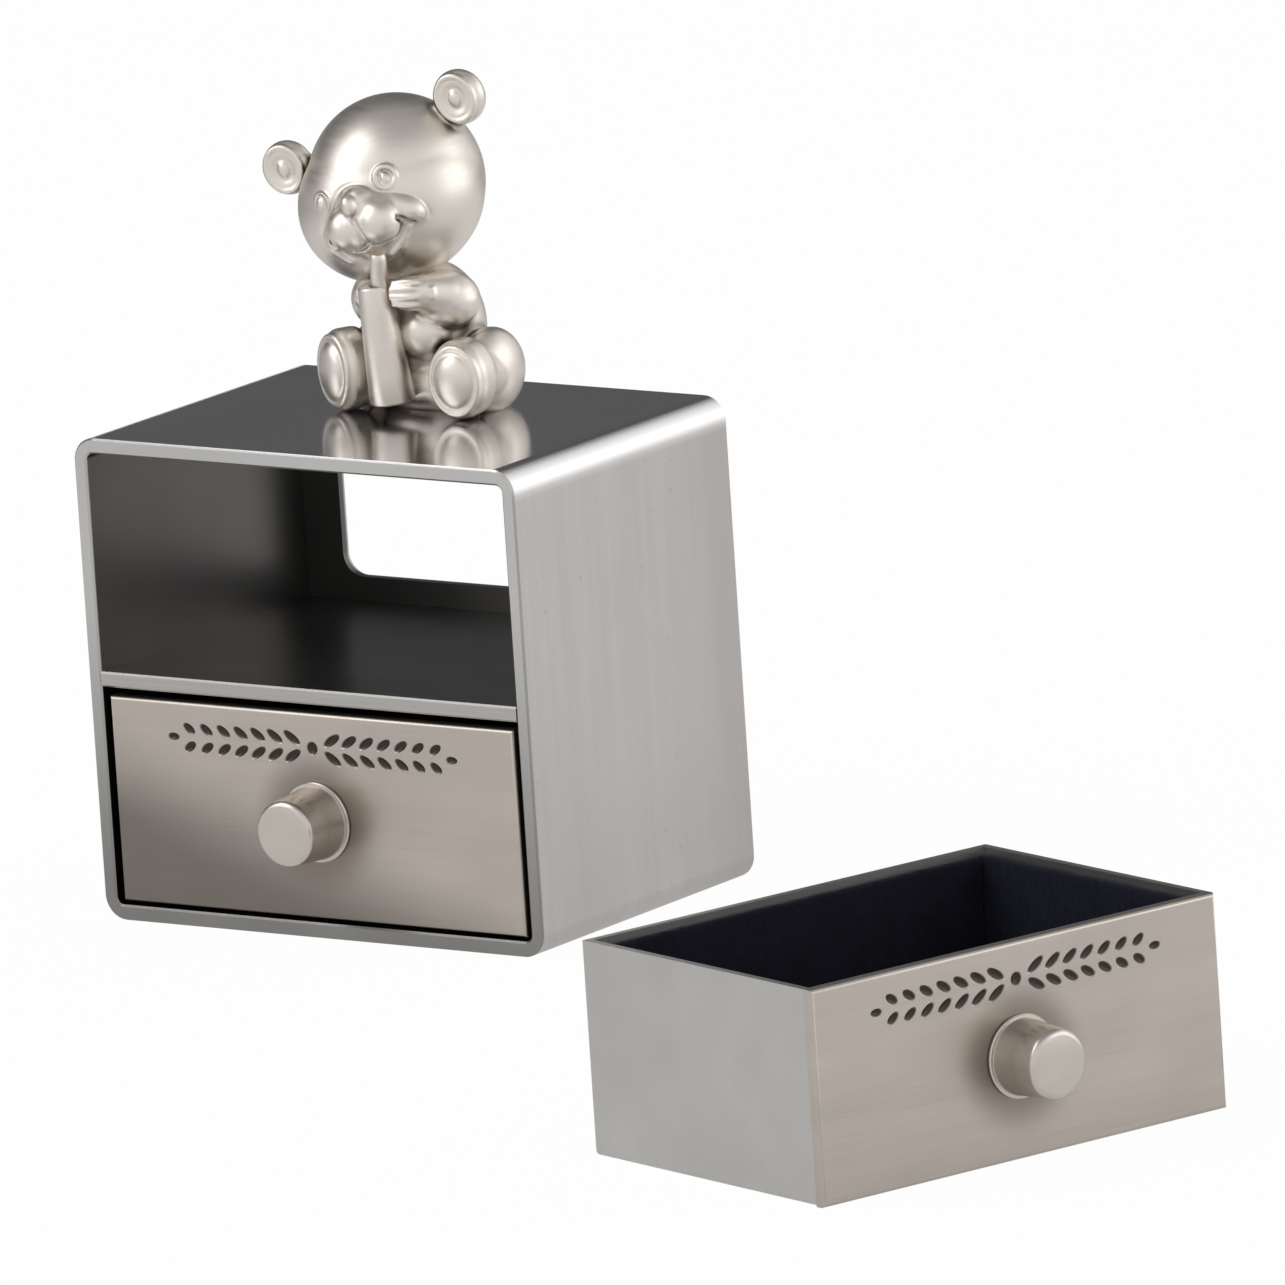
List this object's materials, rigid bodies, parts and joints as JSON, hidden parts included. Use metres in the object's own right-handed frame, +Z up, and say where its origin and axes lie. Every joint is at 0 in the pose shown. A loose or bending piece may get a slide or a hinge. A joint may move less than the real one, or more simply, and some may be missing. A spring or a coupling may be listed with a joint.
{
  "type": "baby tooth box",
  "caption": "Metal keepsake cabinet with rounded edges, velvet-lined drawers with round knobs and a seated bear drinking from a bottle on its top.",
  "frame": {"origin": "middle of the flat face that the cabinet stands on", "axes": "+Z up; the drawers' side of the cabinet faces -Y; +X is to the right of someone facing it"},
  "size_m": [0.1578, 0.1166, 0.0852],
  "materials": {
    "cabinet_metal": "satin plated metal with fine upright brushing; deck and inside darkened and smooth",
    "drawer_metal": "satin plated metal, warmer, with fine level brushing",
    "knob_metal": "turned and satin polished plated metal",
    "bear_metal": "satin plated casting with darkened hollows",
    "screw_steel": "plain plated screws",
    "velvet": "short-pile velvet, nearly black blue"
  },
  "bodies": {
    "cabinet": {"cabinet_shell": "cabinet_metal", "bear_screws": "screw_steel", "shelf": "cabinet_metal", "back_panel": "cabinet_metal", "bear_body": "bear_metal", "bear_head": "bear_metal", "bear_bottle": "bear_metal"},
    "curl_drawer": {"curl_drawer_front_plate": "drawer_metal", "curl_drawer_tray": "drawer_metal", "curl_drawer_knob": "knob_metal", "curl_drawer_knob_screw": "screw_steel", "curl_drawer_side_linings": "velvet", "curl_drawer_end_linings": "velvet", "curl_drawer_floor_pad": "velvet"},
    "tooth_drawer": {"tooth_drawer_front_plate": "drawer_metal", "tooth_drawer_tray": "drawer_metal", "tooth_drawer_knob": "knob_metal", "tooth_drawer_knob_screw": "screw_steel", "tooth_drawer_side_linings": "velvet", "tooth_drawer_end_linings": "velvet", "tooth_drawer_floor_pad": "velvet"}
  },
  "joints": [
    {"name": "curl_drawer_slide", "type": "slide", "parent": "cabinet", "child": "curl_drawer", "axis": [0, -1, 0], "range_m": [0, 0.03]},
    {"name": "tooth_drawer_slide", "type": "slide", "parent": "cabinet", "child": "tooth_drawer", "axis": [0.9563, -0.2924, 0], "range_m": [0, 0.03]}
  ]
}
